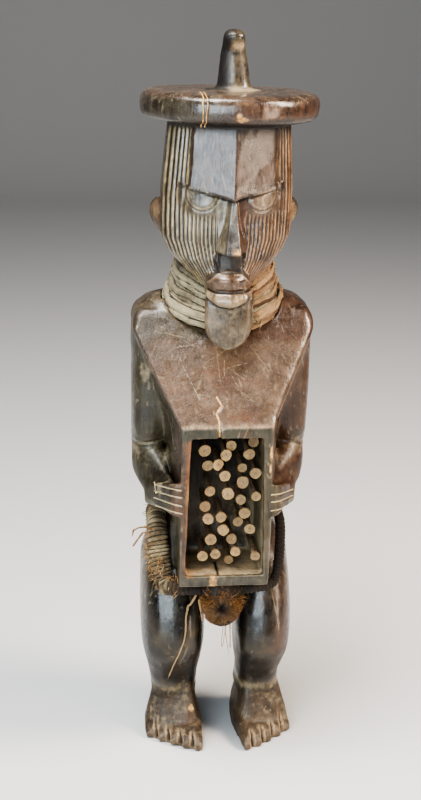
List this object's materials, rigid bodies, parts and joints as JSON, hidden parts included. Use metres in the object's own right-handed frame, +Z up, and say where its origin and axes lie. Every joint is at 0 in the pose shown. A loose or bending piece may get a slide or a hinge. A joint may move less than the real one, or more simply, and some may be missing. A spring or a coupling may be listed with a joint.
{
  "type": "sorcerer figure",
  "caption": "Standing carved wooden figure with a flat disc hat, a ridged face, a bound neck and an open-fronted box of pegs at the belly.",
  "frame": {"origin": "centre of the bounding box at the soles, on the surface that the figure stands on", "axes": "+Z up along the figure, the face and the box towards -Y, +X to the viewer's right"},
  "size_m": [0.1691, 0.175, 0.663],
  "materials": {
    "carved_wood": "dark brown, oiled and handled to a satin gloss, with beige dust in the cuts and worn pale edges",
    "wound_cloth": "dusty plant-fibre cloth, wound in strips, matt",
    "bound_cord": "twisted plant cord, dusty brown, matt",
    "fibre": "coarse dry orange-brown fibre, matt",
    "peg_wood": "whittled end grain, dusty tan, matt"
  },
  "bodies": {
    "root": {"figure": "carved_wood", "neck_wrap": "wound_cloth", "hip_belt": "bound_cord", "fibre_tuft": "fibre", "peg_01": "peg_wood", "peg_02": "peg_wood", "peg_03": "peg_wood", "peg_04": "peg_wood", "peg_05": "peg_wood", "peg_06": "peg_wood", "peg_07": "peg_wood", "peg_08": "peg_wood", "peg_09": "peg_wood", "peg_10": "peg_wood", "peg_11": "peg_wood", "peg_12": "peg_wood", "peg_13": "peg_wood", "peg_14": "peg_wood", "peg_15": "peg_wood", "peg_16": "peg_wood", "peg_17": "peg_wood", "peg_18": "peg_wood", "peg_19": "peg_wood", "peg_20": "peg_wood", "peg_21": "peg_wood", "peg_22": "peg_wood", "peg_23": "peg_wood", "peg_24": "peg_wood", "peg_25": "peg_wood", "peg_26": "peg_wood", "peg_27": "peg_wood", "peg_28": "peg_wood", "peg_29": "peg_wood"}
  },
  "joints": []
}
